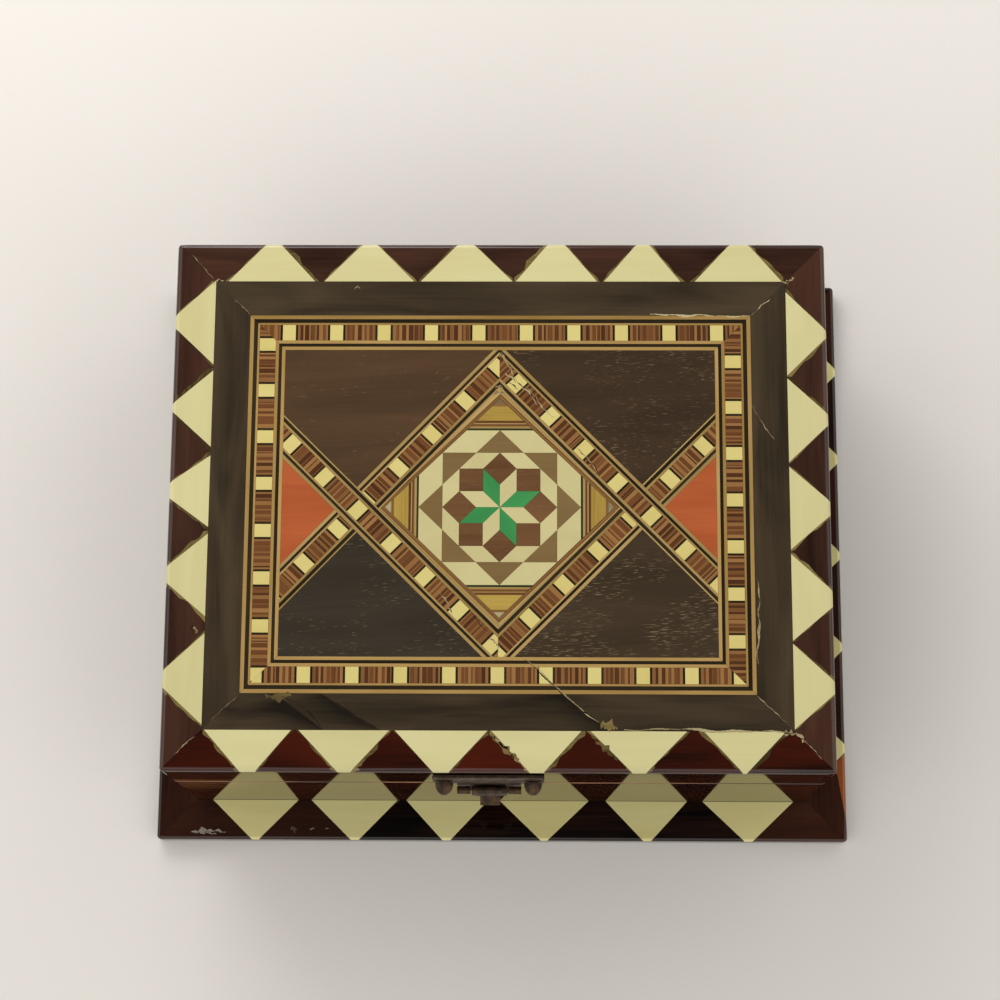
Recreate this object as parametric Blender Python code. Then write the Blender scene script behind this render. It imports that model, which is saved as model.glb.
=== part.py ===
# Inlaid music box: a hinged wooden case on a projecting flange, with marquetry let into the lid.
# Units are metres. X runs along the front, +Y to the back, +Z up, and the floor is z = 0.

import math

import bmesh
import bpy
from mathutils import Matrix

# Case
BOX_WIDTH = 0.150
BOX_DEPTH = 0.1227
BOX_HEIGHT = 0.067
LID_HEIGHT = 0.021
WALL_THICKNESS = 0.007
CORNER_RADIUS = 0.001
CORNER_STEPS = 2

# Clearances
FIT_GAP = 0.0003
LID_GAP = 0.0005

# Flange round the foot
FLANGE_REACH = 0.0097
FLANGE_THICKNESS = 0.0045
FLANGE_EDGE_RADIUS = 0.0008

# Lid top, from the edge inwards
CORE_THICKNESS = 0.0035
INLAY_THICKNESS = 0.003
LID_EDGE_RADIUS = 0.0012
EDGE_STEPS = 4
BAND_WIDTH = 0.00925
BORDER_WIDTH = 0.0082
STRINGING_WIDTH = 0.0083

# Hinges on the back
HINGE_INSET = 0.029
HINGE_WIDTH = 0.022
LEAF_HEIGHT = 0.0085
LEAF_THICKNESS = 0.0008
PIN_RADIUS = 0.0007
PIN_CLEARANCE = 0.0003
PIN_OVERHANG = 0.0006
ROLL_STEPS = 12
ROLL_SWEEP = math.radians(270)

# Snap catch on the front, heights measured from the joint between case and lid
CATCH_OFFSET = -0.0021
CATCH_SHEET = 0.0006
PLATE_WIDTH = 0.025
PLATE_CORNER = 0.0015
PLATE_HIGH = 0.018
WING_LOW = 0.0066
APRON_WIDTH = 0.0146
APRON_LOW = 0.0010
TACK_SPACING = 0.020
TACK_HEIGHT = 0.010
TACK_RADIUS = 0.00205
TACK_DOME = 0.0028
BARREL_RADIUS = 0.0009
BARREL_HEIGHT = 0.0036
TONGUE_WIDTH = 0.0080
TAB_WIDTH = 0.0046
TAB_TOP = 0.0062
TAB_LOW = 0.0082
TAB_REACH = 0.0042
KEEPER_WIDTH = 0.0112
KEEPER_LOW = 0.0070
KEEPER_TOP = 0.0008
NOSE_RADIUS = 0.0006
NOSE_HEIGHT = 0.0036
ROUND_STEPS = 16

# Worked out from the sizes above
HALF_WIDTH = BOX_WIDTH / 2
HALF_DEPTH = BOX_DEPTH / 2
SPLIT_HEIGHT = BOX_HEIGHT - LID_HEIGHT
INLAY_BASE = BOX_HEIGHT - INLAY_THICKNESS
KNUCKLE_RADIUS = PIN_RADIUS + PIN_CLEARANCE + LEAF_THICKNESS
HINGE_SPACING = BOX_WIDTH - 2 * HINGE_INSET
BARREL_REACH = FIT_GAP + CATCH_SHEET + FIT_GAP + BARREL_RADIUS
HINGE_AXIS = (0.0, HALF_DEPTH + FIT_GAP + KNUCKLE_RADIUS, SPLIT_HEIGHT)
SIDES = ("front", "back", "left", "right")


def make_material(name, colour, roughness, metallic=0.0):
    material = bpy.data.materials.new(name)
    material.use_nodes = True
    shader = material.node_tree.nodes["Principled BSDF"]
    shader.inputs["Base Color"].default_value = (*colour, 1.0)
    shader.inputs["Roughness"].default_value = roughness
    shader.inputs["Metallic"].default_value = metallic
    return material


def make_object(name, shape, material, location, parent=None):
    mesh = bpy.data.meshes.new(name)
    bmesh.ops.recalc_face_normals(shape, faces=shape.faces)
    shape.to_mesh(mesh)
    shape.free()
    mesh.materials.append(material)
    item = bpy.data.objects.new(name, mesh)
    bpy.context.scene.collection.objects.link(item)
    item.location = location
    if parent:
        item.parent = parent
        item.location = [place - origin for place, origin in zip(location, parent.location)]
    return item


def shade_round(item, angle=math.radians(35)):
    item.data.shade_smooth()
    item.data.set_sharp_from_angle(angle=angle)


def loft(rings):
    """Closed body through rings that all have the same number of points."""
    shape = bmesh.new()
    loops = [[shape.verts.new(point) for point in ring] for ring in rings]
    for low, high in zip(loops, loops[1:]):
        for index in range(len(low)):
            after = (index + 1) % len(low)
            shape.faces.new((low[index], low[after], high[after], high[index]))
    shape.faces.new(reversed(loops[0]))
    shape.faces.new(loops[-1])
    return shape


def block(size_x, size_y, size_z):
    """Box that stands on z = 0, centred in X and Y."""
    shape = bmesh.new()
    bmesh.ops.create_cube(shape, size=1.0)
    bmesh.ops.translate(shape, verts=shape.verts, vec=(0.0, 0.0, 0.5))
    bmesh.ops.scale(shape, verts=shape.verts, vec=(size_x, size_y, size_z))
    return shape


def mitred_plan(half_along, half_out, outer, inner, radius):
    """Plan of one board of a mitred frame, as points (along, outward)."""
    recess = FIT_GAP / math.sqrt(2)
    end = [(half_along - inner - recess, half_out - inner)]
    centre = outer + radius
    for step in range(CORNER_STEPS + 1):
        turn = math.radians(45 + 45 * step / CORNER_STEPS)
        along = half_along - centre + radius * math.cos(turn) - recess
        end.append((along, half_out - centre + radius * math.sin(turn)))
        if radius == 0:
            break
    return end + [(-along, out) for along, out in reversed(end)]


def face_side(side, along, out):
    """Turns (along, outward) into (x, y) for a side of the case."""
    return {
        "front": (along, -out),
        "back": (-along, out),
        "left": (-out, -along),
        "right": (out, along),
    }[side]


def frame_board(side, half_x, half_y, levels):
    """Board of a mitred frame. Each level is (height, outer inset, inner inset, corner radius)."""
    half_along, half_out = (half_x, half_y) if side in ("front", "back") else (half_y, half_x)
    rings = []
    for height, outer, inner, radius in levels:
        plan = mitred_plan(half_along, half_out, outer, inner, radius)
        rings.append([(*face_side(side, along, out), height) for along, out in plan])
    return loft(rings)


def rounded_levels(thickness, inner, edge_radius, corner_radius):
    """Levels of a frame board whose outer top edge is rounded over."""
    levels = [(0.0, 0.0, inner, corner_radius)]
    for step in range(EDGE_STEPS + 1):
        turn = math.radians(90 * step / EDGE_STEPS)
        inset = edge_radius * (1 - math.cos(turn))
        height = thickness - edge_radius * (1 - math.sin(turn))
        levels.append((height, inset, inner, max(corner_radius - inset, corner_radius / 5)))
    return levels


def build_flange(material):
    inner = FLANGE_REACH + WALL_THICKNESS
    levels = rounded_levels(FLANGE_THICKNESS, inner, FLANGE_EDGE_RADIUS, CORNER_RADIUS)
    for side in SIDES:
        shape = frame_board(side, HALF_WIDTH + FLANGE_REACH, HALF_DEPTH + FLANGE_REACH, levels)
        shade_round(make_object(f"base_moulding_{side}", shape, material, (0.0, 0.0, 0.0)))


def build_bottom(material):
    width = BOX_WIDTH - 2 * (WALL_THICKNESS + FIT_GAP)
    depth = BOX_DEPTH - 2 * (WALL_THICKNESS + FIT_GAP)
    make_object("bottom_board", block(width, depth, FLANGE_THICKNESS), material, (0.0, 0.0, 0.0))


def build_walls(prefix, low, high, material, parent=None):
    """Four mitred boards from one height to another."""
    levels = [
        (0.0, 0.0, WALL_THICKNESS, CORNER_RADIUS),
        (high - low, 0.0, WALL_THICKNESS, CORNER_RADIUS),
    ]
    for side in SIDES:
        shape = frame_board(side, HALF_WIDTH, HALF_DEPTH, levels)
        shade_round(make_object(f"{prefix}_{side}_board", shape, material, (0.0, 0.0, low), parent))


def build_lid_core(material, parent):
    width = BOX_WIDTH - 2 * (WALL_THICKNESS + FIT_GAP)
    depth = BOX_DEPTH - 2 * (WALL_THICKNESS + FIT_GAP)
    low = INLAY_BASE - FIT_GAP - CORE_THICKNESS
    make_object("lid_core_board", block(width, depth, CORE_THICKNESS), material, (0.0, 0.0, low), parent)


def build_lid_frames(materials, parent):
    """Triangle band, dark border and stringing, one inside the other round the lid top."""
    band_levels = rounded_levels(INLAY_THICKNESS, BAND_WIDTH - FIT_GAP / 2, LID_EDGE_RADIUS, CORNER_RADIUS)
    border_end = BAND_WIDTH + BORDER_WIDTH
    stringing_end = border_end + STRINGING_WIDTH
    frames = {"lid_triangle_band": band_levels}
    for name, start, end in (
        ("lid_border", BAND_WIDTH, border_end),
        ("lid_stringing", border_end, stringing_end),
    ):
        reach = (start + FIT_GAP / 2, end - FIT_GAP / 2, 0.0)
        frames[name] = [(0.0, *reach), (INLAY_THICKNESS, *reach)]
    for name, levels in frames.items():
        for side in SIDES:
            shape = frame_board(side, HALF_WIDTH, HALF_DEPTH, levels)
            item = make_object(f"{name}_{side}", shape, materials[name], (0.0, 0.0, INLAY_BASE), parent)
            shade_round(item)
    inset = stringing_end + FIT_GAP / 2
    panel = block(BOX_WIDTH - 2 * inset, BOX_DEPTH - 2 * inset, INLAY_THICKNESS)
    make_object("lid_marquetry_panel", panel, materials["panel"], (0.0, 0.0, INLAY_BASE), parent)


def thicken(path, thickness):
    """Outline of a bent sheet whose middle follows a path in a plane."""
    near, far = [], []
    for index, (across, height) in enumerate(path):
        before = path[max(index - 1, 0)]
        after = path[min(index + 1, len(path) - 1)]
        run, rise = after[0] - before[0], after[1] - before[1]
        scale = thickness / 2 / math.hypot(run, rise)
        near.append((across + rise * scale, height - run * scale))
        far.append((across - rise * scale, height + run * scale))
    return near, far


def hinge_leaf(direction):
    """Leaf rolled round the pin. Direction is 1 for a leaf that rises and -1 for one that hangs."""
    middle = KNUCKLE_RADIUS - LEAF_THICKNESS / 2
    path = [(-middle, direction * LEAF_HEIGHT)]
    for step in range(ROLL_STEPS + 1):
        turn = math.pi + direction * ROLL_SWEEP * step / ROLL_STEPS
        path.append((middle * math.cos(turn), middle * math.sin(turn)))
    near, far = thicken(path, LEAF_THICKNESS)
    outline = near + far[::-1]
    half = HINGE_WIDTH / 2
    return loft([[(x, across, height) for across, height in outline] for x in (-half, half)])


def notch_leaf(item, centre, width, material):
    """Cuts a gap in the leaf's roll, where the other leaf's knuckle turns."""
    reach = 2 * (KNUCKLE_RADIUS + FIT_GAP)
    cutter = make_object(f"{item.name}_cutter", block(width, reach, reach), material, (0.0, 0.0, 0.0))
    cutter.parent = item
    cutter.location = (centre, 0.0, -reach / 2)
    cutter.hide_render = True
    cutter.display_type = "WIRE"
    cut = item.modifiers.new("notch", "BOOLEAN")
    cut.operation = "DIFFERENCE"
    cut.solver = "EXACT"
    cut.object = cutter


def turned(profile, steps):
    """Closed body turned about Y from (radius, distance) points that start and end off the axis."""
    rings = []
    for step in range(steps):
        turn = math.tau * step / steps
        rings.append((math.cos(turn), math.sin(turn)))
    return loft([[(r * c, distance, r * s) for c, s in rings] for r, distance in profile])


def rod_along_x(radius, length):
    """Round rod centred on the origin."""
    shape = turned([(radius, -length / 2), (radius, length / 2)], ROUND_STEPS)
    bmesh.ops.rotate(shape, verts=shape.verts, matrix=Matrix.Rotation(math.radians(90), 3, "Z"))
    return shape


def build_hinges(material, lid):
    third = HINGE_WIDTH / 3
    for hand, side in (("left", -1), ("right", 1)):
        place = (side * HINGE_SPACING / 2, HINGE_AXIS[1], HINGE_AXIS[2])
        body_leaf = make_object(f"hinge_{hand}_body_leaf", hinge_leaf(-1), material, place)
        shade_round(body_leaf)
        notch_leaf(body_leaf, 0.0, third + FIT_GAP, material)
        lid_leaf = make_object(f"hinge_{hand}_lid_leaf", hinge_leaf(1), material, place, lid)
        shade_round(lid_leaf)
        for end in (-1, 1):
            notch_leaf(lid_leaf, end * (third + FIT_GAP / 2), third + 2 * FIT_GAP, material)
        pin = rod_along_x(PIN_RADIUS, HINGE_WIDTH + 2 * PIN_OVERHANG)
        shade_round(make_object(f"hinge_{hand}_pin", pin, material, place))


def arc(centre_x, centre_z, radius, first, last, steps):
    """Points of an arc in X and Z, from one angle in degrees to another."""
    turns = [math.radians(first + (last - first) * step / steps) for step in range(steps + 1)]
    return [(centre_x + radius * math.cos(turn), centre_z + radius * math.sin(turn)) for turn in turns]


def catch_plate():
    """Wide plate with a narrower apron below it, as an outline in X and Z."""
    wing = PLATE_WIDTH / 2 - PLATE_CORNER
    apron = APRON_WIDTH / 2
    right = [(apron, APRON_LOW), (apron, WING_LOW)]
    right += arc(wing, WING_LOW + PLATE_CORNER, PLATE_CORNER, -90, 0, ROUND_STEPS // 4)
    right += arc(wing, PLATE_HIGH - PLATE_CORNER, PLATE_CORNER, 0, 90, ROUND_STEPS // 4)
    outline = right + [(-x, height) for x, height in reversed(right)]
    front = -FIT_GAP - CATCH_SHEET
    return loft([[(x, y, height) for x, height in outline] for y in (-FIT_GAP, front)])


def catch_tongue():
    """Tongue rolled over the barrel, hanging past the keeper and ending in a curled thumb tab."""
    roll = BARREL_RADIUS - CATCH_SHEET / 2
    lower = FIT_GAP + CATCH_SHEET + NOSE_RADIUS + FIT_GAP + CATCH_SHEET / 2
    bend = (TAB_LOW - TAB_TOP) / 2
    turn = arc(BARREL_REACH, BARREL_HEIGHT, roll, 180, 0, ROUND_STEPS // 2)
    path = [(*spot, TONGUE_WIDTH) for spot in turn]
    path += [
        (BARREL_REACH + roll, BARREL_HEIGHT / 4, TONGUE_WIDTH),
        (lower, -BARREL_HEIGHT / 4, TONGUE_WIDTH),
        (lower, -TAB_TOP + bend, TONGUE_WIDTH),
        (lower + CATCH_SHEET / 4, -TAB_TOP, TAB_WIDTH),
        ((lower + TAB_REACH) / 2, -TAB_TOP - bend, TAB_WIDTH),
        (TAB_REACH, -TAB_LOW, TAB_WIDTH),
    ]
    near, far = thicken([(out, height) for out, height, width in path], CATCH_SHEET)
    rings = []
    for (out, height, width), (y0, z0), (y1, z1) in zip(path, near, far):
        half = width / 2
        rings.append([(-half, -y0, z0), (half, -y0, z0), (half, -y1, z1), (-half, -y1, z1)])
    return loft(rings)


def catch_keeper():
    """Plate on the case with a rounded nose that the tongue snaps over."""
    front = FIT_GAP + CATCH_SHEET
    outline = [(FIT_GAP, -KEEPER_LOW), (front, -KEEPER_LOW)]
    for step in range(ROUND_STEPS // 2 + 1):
        turn = math.pi * step / (ROUND_STEPS // 2) - math.pi / 2
        outline.append((front + NOSE_RADIUS * math.cos(turn), -NOSE_HEIGHT + NOSE_RADIUS * math.sin(turn)))
    outline += [(front, -KEEPER_TOP), (FIT_GAP, -KEEPER_TOP)]
    half = KEEPER_WIDTH / 2
    return loft([[(x, -out, height) for out, height in outline] for x in (-half, half)])


def tack_profile():
    """Domed head, as (radius, distance in front of the plate)."""
    profile = []
    for step in range(ROUND_STEPS // 2):
        turn = math.pi * step / ROUND_STEPS
        profile.append((TACK_RADIUS * math.cos(turn), -TACK_DOME * math.sin(turn)))
    return profile


def build_catch(material, lid):
    place = (CATCH_OFFSET, -HALF_DEPTH, SPLIT_HEIGHT)
    make_object("catch_plate", catch_plate(), material, place, lid)
    shade_round(make_object("catch_tongue", catch_tongue(), material, place, lid))
    shade_round(make_object("catch_keeper", catch_keeper(), material, place))
    for hand, side in (("left", -1), ("right", 1)):
        front = -HALF_DEPTH - FIT_GAP - CATCH_SHEET - FIT_GAP
        spot = (CATCH_OFFSET + side * TACK_SPACING / 2, front, SPLIT_HEIGHT + TACK_HEIGHT)
        tack = turned(tack_profile(), ROUND_STEPS)
        shade_round(make_object(f"catch_tack_{hand}", tack, material, spot, lid))
        inner = TONGUE_WIDTH / 2 + FIT_GAP
        length = APRON_WIDTH / 2 - inner
        knuckle = rod_along_x(BARREL_RADIUS, length)
        seat = (
            CATCH_OFFSET + side * (inner + length / 2),
            -HALF_DEPTH - BARREL_REACH,
            SPLIT_HEIGHT + BARREL_HEIGHT,
        )
        shade_round(make_object(f"catch_knuckle_{hand}", knuckle, material, seat, lid))


def build_music_box():
    for item in list(bpy.data.objects):
        bpy.data.objects.remove(item, do_unlink=True)
    walnut = make_material("dark_walnut", (0.045, 0.018, 0.010), 0.2)
    bare_wood = make_material("bare_wood", (0.16, 0.085, 0.04), 0.6)
    brass = make_material("aged_brass", (0.20, 0.12, 0.05), 0.45, 1.0)
    inlay = {
        "lid_triangle_band": make_material("triangle_band", (0.34, 0.27, 0.15), 0.2),
        "lid_border": make_material("dark_border", (0.042, 0.028, 0.018), 0.2),
        "lid_stringing": make_material("stringing", (0.36, 0.24, 0.12), 0.2),
        "panel": make_material("marquetry", (0.20, 0.11, 0.05), 0.2),
    }
    lid = bpy.data.objects.new("lid_hinge_axis", None)
    lid.location = HINGE_AXIS
    bpy.context.scene.collection.objects.link(lid)

    build_flange(inlay["lid_triangle_band"])
    build_bottom(bare_wood)
    build_walls("body", FLANGE_THICKNESS + FIT_GAP, SPLIT_HEIGHT - LID_GAP / 2, walnut)
    build_walls("lid", SPLIT_HEIGHT + LID_GAP / 2, INLAY_BASE - FIT_GAP, walnut, lid)
    build_lid_core(bare_wood, lid)
    build_lid_frames(inlay, lid)
    build_hinges(brass, lid)
    build_catch(brass, lid)


build_music_box()
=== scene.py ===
import math

import bmesh
import bpy
import numpy as np
from mathutils import Matrix, Vector


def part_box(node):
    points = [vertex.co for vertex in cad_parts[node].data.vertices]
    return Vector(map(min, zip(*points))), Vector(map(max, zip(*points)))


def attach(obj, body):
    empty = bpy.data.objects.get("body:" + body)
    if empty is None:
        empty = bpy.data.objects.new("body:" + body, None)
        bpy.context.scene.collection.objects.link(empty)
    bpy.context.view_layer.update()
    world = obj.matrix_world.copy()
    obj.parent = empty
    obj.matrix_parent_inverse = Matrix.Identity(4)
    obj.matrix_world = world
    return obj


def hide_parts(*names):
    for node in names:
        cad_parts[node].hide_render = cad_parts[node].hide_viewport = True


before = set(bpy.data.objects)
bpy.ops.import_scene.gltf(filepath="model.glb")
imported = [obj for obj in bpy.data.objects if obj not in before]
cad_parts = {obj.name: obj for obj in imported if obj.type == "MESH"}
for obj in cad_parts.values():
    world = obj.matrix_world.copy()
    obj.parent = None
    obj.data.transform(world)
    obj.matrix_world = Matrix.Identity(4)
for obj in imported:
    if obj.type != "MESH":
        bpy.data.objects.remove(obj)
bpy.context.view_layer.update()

mm = 0.001
chance = np.random.default_rng(31)
sides = ("front", "back", "left", "right")
sharpAngle = math.radians(30)  # from here on an edge isn't shaded round


# Shader maths

class Wire:  # an output socket; arithmetic on it adds Math nodes
    def __init__(self, shop, socket):
        self.shop = shop
        self.socket = socket

    def maths(self, operation, *values):
        return self.shop.node("ShaderNodeMath", {"operation": operation}, dict(enumerate(values)))

    def __add__(self, other):
        return self.maths("ADD", self, other)

    __radd__ = __add__

    def __sub__(self, other):
        return self.maths("SUBTRACT", self, other)

    def __rsub__(self, other):
        return self.maths("SUBTRACT", other, self)

    def __mul__(self, other):
        return self.maths("MULTIPLY", self, other)

    __rmul__ = __mul__

    def bounded(self):
        return self.maths("MINIMUM", self.maths("MAXIMUM", self, 0.0), 1.0)


class Shop:  # the node tree of one material, with its Principled shader
    def __init__(self, name, **constants):
        self.material = bpy.data.materials.new(name)
        self.material.use_nodes = True
        self.tree = self.material.node_tree
        self.shader = self.tree.nodes["Principled BSDF"]
        for socket, value in constants.items():
            self.shader.inputs[socket.replace("_", " ")].default_value = value

    def feed(self, socket, value):
        if isinstance(value, Wire):
            self.tree.links.new(value.socket, socket)
        else:
            socket.default_value = value

    def node(self, kind, settings=None, values=None, out=0):
        item = self.tree.nodes.new(kind)
        for key, value in (settings or {}).items():
            setattr(item, key, value)
        for key, value in (values or {}).items():
            self.feed(item.inputs[key], value)
        return Wire(self, item.outputs[out])

    def place(self):  # where a point of the object is, in metres
        return self.node("ShaderNodeTexCoord", {}, {}, "Object")

    def parts(self, vector):
        return [self.node("ShaderNodeSeparateXYZ", {}, {0: vector}, axis) for axis in range(3)]

    def mix(self, factor, first, second):
        return self.node("ShaderNodeMix", {"data_type": "RGBA"}, {0: factor, 6: first, 7: second}, 2)

    def noise(self, vector, scale, detail=3.0, roughness=0.55, distortion=0.0, offset=(0.0, 0.0, 0.0)):
        # Noise of the vector times a scale for each axis, so that it can run along one of them.
        spot = self.node("ShaderNodeMapping", {}, {"Vector": vector, "Location": offset, "Scale": scale})
        values = {"Vector": spot, "Scale": 1.0, "Detail": detail, "Roughness": roughness}
        return self.node("ShaderNodeTexNoise", {}, values | {"Distortion": distortion})

    def step(self, value, low, high):
        return self.node("ShaderNodeMapRange", {"interpolation_type": "SMOOTHSTEP"},
                         {"Value": value, "From Min": low, "From Max": high})

    def surface(self, height=None, bump=0.1, reach=0.0001, **links):
        for socket, value in links.items():
            self.feed(self.shader.inputs[socket.replace("_", " ")], value)
        if height is not None:
            values = {"Height": height, "Strength": bump, "Distance": reach}
            self.feed(self.shader.inputs["Normal"], self.node("ShaderNodeBump", {}, values))
        return self.material


class Sky(Shop):  # the node tree of the world
    def __init__(self, name):
        self.world = bpy.data.worlds.new(name)
        self.world.use_nodes = True
        self.tree = self.world.node_tree
        self.inputs = self.tree.nodes["Background"].inputs


def tint(red, green, blue):  # colour as seen on a screen, 0 to 255, made linear
    shares = [value / 255 for value in (red, green, blue)]
    return (*[share / 12.92 if share < 0.04 else ((share + 0.055) / 1.055) ** 2.4 for share in shares], 1.0)


def cutWood(name, light, deep, look):
    # Veneer wood on its own UV map, in millimetres along and across the grain, under a hard lacquer.
    look = {"fibre": 0.5, "figure": 0.5, "tone": 0.25, "pores": 0.0, "poreTint": tint(120, 105, 90),
            "length": 0.05, "across": 1.4, "haze": 0.1, "sparse": 0.64} | look
    shop = Shop(name, Coat_Weight=1.0, Coat_Roughness=0.05, Coat_IOR=1.5, Specular_IOR_Level=0.0)
    grain = shop.node("ShaderNodeUVMap", {"uv_map": "grain"})
    tone = shop.node("ShaderNodeAttribute", {"attribute_name": "tone"}, {}, "Fac")
    fibre = shop.noise(grain, (look["length"], look["across"], 1.0), 5.0, 0.65)
    figure = shop.noise(grain, (0.025, 0.16, 1.0), 2.0, 0.5, 0.6)
    level = 0.5 + (fibre - 0.5) * (2.4 * look["fibre"]) + (figure - 0.5) * (2.4 * look["figure"])
    level = (level + tone * look["tone"]).bounded()
    colour = shop.mix(level, deep, light)
    if look["pores"]:
        dash = shop.noise(grain, (0.42, 5.2, 1.0), 1.0, 0.5, 0.3, (7.0, 3.0, 0.0))
        patch = shop.noise(grain, (0.07, 0.11, 1.0), 2.0, offset=(3.0, 9.0, 0.0))
        pore = shop.step(dash, look["sparse"], look["sparse"] + 0.06) * shop.step(patch, 0.42, 0.58)
        pore = pore * look["pores"]
        colour = shop.mix(pore, colour, look["poreTint"])
    rough = 0.42 + fibre * 0.16 + figure * look["haze"]
    return shop.surface(fibre, 0.08, 0.00005, Base_Color=colour, Roughness=rough)


def layWoods():
    # Each wood: light colour, deep colour and how much its fibres, figure and pores show.
    woods = {}
    cream = {"fibre": 0.16, "figure": 0.35, "tone": 0.22, "length": 0.04, "across": 0.9}
    dark = {"fibre": 0.30, "figure": 0.6, "tone": 0.45}
    field = {"fibre": 0.26, "figure": 0.5, "tone": 0.0, "pores": 0.8, "poreTint": tint(132, 112, 84)}
    line = {"fibre": 0.45, "figure": 0.5, "tone": 0.3, "across": 4.0}
    stripe = {"fibre": 0.5, "tone": 0.6, "across": 3.0}
    recipes = {
        "creamWood": ((224, 217, 163), (207, 197, 141), cream),
        # The foot's cream is the lid's cream made lighter: painted light that makes up for the shade
        # falling on the flange.
        "footCream": ((238, 230, 166), (220, 208, 138), cream),
        "roseWood": ((76, 26, 11), (24, 9, 5), dark | {"tone": 0.5}),
        "brownWood": ((78, 50, 38), (38, 22, 16), dark | {"tone": 0.4}),
        "footDark": ((66, 36, 24), (7, 4, 3), dark | {"tone": 0.5, "figure": 0.4}),
        "amberWood": ((168, 94, 42), (112, 54, 24), dark),
        "borderWood": ((78, 65, 48), (32, 27, 20), {"fibre": 0.22, "figure": 0.7, "tone": 0.5}),
        "fieldBrown": ((94, 71, 50), (70, 52, 36), field | {"pores": 0.9, "sparse": 0.70}),
        "fieldDark": ((75, 59, 43), (54, 42, 31), field),
        "fieldBlack": ((68, 60, 49), (48, 42, 34), field | {"pores": 0.8, "sparse": 0.66}),
        "fieldStriped": ((78, 64, 48), (55, 44, 33), field | {"pores": 1.0, "sparse": 0.61}),
        "stringYellow": ((194, 160, 100), (146, 114, 60), line),
        "bandYellow": ((192, 162, 104), (146, 118, 68), line),
        "lineGreen": ((58, 66, 42), (36, 42, 26), line),
        "lineDark": ((58, 48, 32), (32, 26, 17), line),
        "stripeBrown": ((120, 76, 44), (78, 47, 28), stripe),
        "stripeTan": ((158, 114, 68), (120, 80, 46), stripe),
        "mosaicCream": ((228, 214, 140), (212, 194, 116), cream),
        "medalCream": ((216, 206, 152), (202, 190, 136), cream),
        "medalBrown": ((138, 114, 74), (118, 94, 58), {"fibre": 0.3, "figure": 0.4, "tone": 0.2}),
        "squareBrown": ((130, 92, 60), (98, 68, 43), {"fibre": 0.4, "tone": 0.3, "pores": 0.6}),
        "greenWood": ((76, 160, 92), (54, 130, 72), {"fibre": 0.25, "figure": 0.4, "tone": 0.3}),
        "orangeWood": ((192, 102, 60), (168, 82, 46), {"fibre": 0.22, "figure": 0.7, "tone": 0.1}),
        "satinWood": ((194, 164, 84), (158, 126, 56), {"fibre": 0.7, "tone": 0.2, "across": 2.2}),
        "facing": ((158, 116, 68), (108, 74, 42), {"fibre": 0.7, "tone": 0.2, "across": 3.5}),
        "glueLine": ((134, 116, 70), (64, 50, 28), {"fibre": 0.5, "figure": 0.9, "tone": 0.5}),
        "footGlue": ((78, 62, 38), (30, 22, 14), {"fibre": 0.5, "figure": 0.9, "tone": 0.5}),
        "putty": ((190, 176, 134), (124, 106, 72), {"fibre": 0.6, "figure": 0.9, "tone": 0.4}),
        "scuff": ((168, 158, 150), (84, 70, 62), {"fibre": 1.0, "figure": 1.0, "tone": 0.3, "length": 0.6}),
        "crack": ((60, 44, 30), (26, 19, 12), {"fibre": 0.6, "figure": 0.8, "tone": 0.3}),
        "ground": ((50, 40, 26), (27, 20, 13), {"fibre": 0.4}),
    }
    for name, (light, deep, look) in recipes.items():
        woods[name] = cutWood(name, tint(*light), tint(*deep), look)
    return woods


woods = layWoods()


# Making meshes from cut pieces

class Inlay:  # gathers closed pieces of wood and makes one mesh of them
    def __init__(self, name):
        self.name = name
        self.woods = []
        self.points = []
        self.grains = []
        self.faces = []
        self.faceWoods = []
        self.faceTones = []
        self.count = 0

    def add(self, points, faces, wood, grain, tone=None, shift=None):
        if wood not in self.woods:
            self.woods.append(wood)
        self.points.append(points)
        self.grains.append(grain + (chance.uniform(0, 400, 2) if shift is None else shift))
        self.faces += [tuple(self.count + index for index in face) for face in faces]
        self.faceWoods += [self.woods.index(wood)] * len(faces)
        self.faceTones += [chance.uniform(-1, 1) if tone is None else tone] * len(faces)
        self.count += len(points)

    def veneer(self, outline, wood, top, depth, angle=0.0, joint=0.03, tone=None, shift=None):
        # Flat piece: the outline drawn in by half a joint, at the top and again at the bottom.
        outline = drawIn(outline, joint)
        if len(outline) < 3:
            return
        count = len(outline)
        points = np.vstack([np.c_[outline, np.full(count, level)] for level in (top, top - depth)])
        ring = np.arange(count)
        after = np.roll(ring, -1)
        faces = [tuple(ring), tuple(ring[::-1] + count)]
        faces += list(zip(ring + count, after + count, after, ring))
        turn = math.radians(angle)
        spin = np.array([[math.cos(turn), -math.sin(turn)], [math.sin(turn), math.cos(turn)]])
        self.add(points, faces, wood, np.vstack([outline, outline]) @ spin, tone, shift)

    def build(self, body, slot, *nodes):
        mesh = bpy.data.meshes.new(self.name)
        mesh.from_pydata((np.vstack(self.points) * mm).tolist(), [], self.faces)
        for wood in self.woods:
            mesh.materials.append(woods[wood])
        mesh.polygons.foreach_set("material_index", self.faceWoods)
        mesh.attributes.new("tone", "FLOAT", "FACE").data.foreach_set("value", self.faceTones)
        corners = np.zeros(len(mesh.loops), int)
        mesh.loops.foreach_get("vertex_index", corners)
        grain = np.vstack(self.grains)[corners]
        mesh.uv_layers.new(name="grain").data.foreach_set("uv", grain.ravel())
        return settle(mesh, body, slot, *nodes)


def settle(mesh, body, slot, *nodes):
    # Turns the faces outwards, shades the round parts and hangs the piece on its body.
    work = bmesh.new()
    work.from_mesh(mesh)
    bmesh.ops.recalc_face_normals(work, faces=work.faces)
    work.to_mesh(mesh)
    work.free()
    mesh.shade_smooth()
    mesh.set_sharp_from_angle(angle=sharpAngle)
    piece = bpy.data.objects.new(mesh.name, mesh)
    bpy.context.scene.collection.objects.link(piece)
    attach(piece, body)
    if nodes:
        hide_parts(*nodes)
    return piece


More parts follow.
